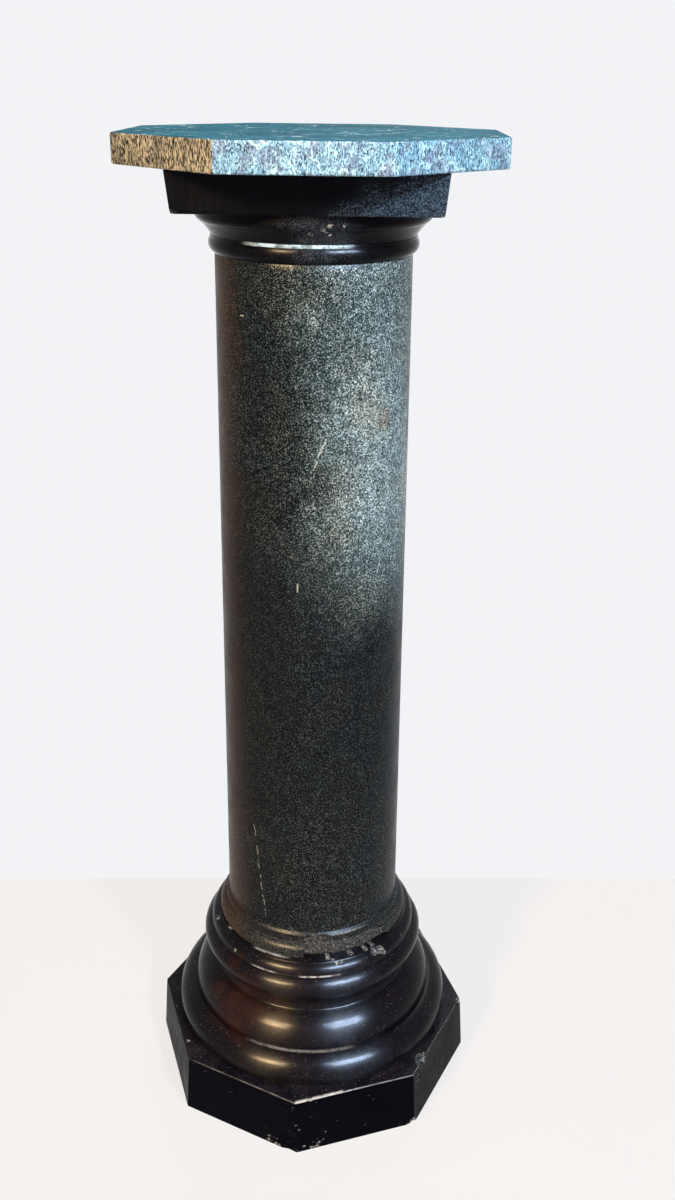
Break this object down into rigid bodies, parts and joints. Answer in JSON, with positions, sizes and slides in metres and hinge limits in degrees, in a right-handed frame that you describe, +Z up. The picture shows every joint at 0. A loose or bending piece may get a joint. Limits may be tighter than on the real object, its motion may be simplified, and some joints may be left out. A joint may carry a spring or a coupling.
{
  "type": "pedestal column",
  "caption": "Polished marble pedestal column: tapered round shaft on a turned moulded base and octagonal plinth, under a square abacus and an octagonal top slab.",
  "frame": {"origin": "middle of the plinth's underside, on the column's axis", "axes": "+Z runs up the column; the abacus and the slab face along X and Y, and the side seen in the picture looks along -Y"},
  "size_m": [0.3736, 0.3736, 1.06],
  "materials": {
    "slab_marble": "polished",
    "capital_marble": "polished",
    "shaft_marble": "polished",
    "base_marble": "polished",
    "plinth_marble": "polished",
    "dowel_iron": "matte"
  },
  "bodies": {
    "root": {"top_slab": "slab_marble", "capital": "capital_marble", "shaft": "shaft_marble", "base": "base_marble", "plinth": "plinth_marble", "slab_dowel": "dowel_iron", "capital_dowel": "dowel_iron", "shaft_dowel": "dowel_iron", "base_dowel": "dowel_iron"}
  },
  "joints": []
}
